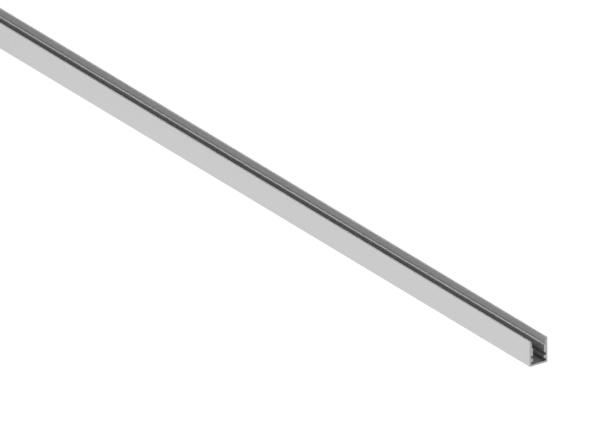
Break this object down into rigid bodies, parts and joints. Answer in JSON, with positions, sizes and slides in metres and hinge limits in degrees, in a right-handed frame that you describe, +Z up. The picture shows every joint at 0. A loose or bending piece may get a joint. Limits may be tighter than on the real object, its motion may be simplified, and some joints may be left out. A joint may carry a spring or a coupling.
{
  "type": "aluminium extrusion profile",
  "caption": "Straight deep U-channel extrusion with inward ribs, snap-in jaws and tapered lips, sawn square at both ends, for a light strip and its cover.",
  "frame": {"origin": "middle of the flat underside: half way along the length and half way across", "axes": "+X along the length towards the cut end that the picture shows, +Y across the channel, +Z up out of the channel's open mouth"},
  "size_m": [1, 0.0122, 0.0155],
  "materials": {
    "aluminium": "matt silver anodised, with saw-cut ends"
  },
  "bodies": {
    "root": {"channel_profile": "aluminium"}
  },
  "joints": []
}
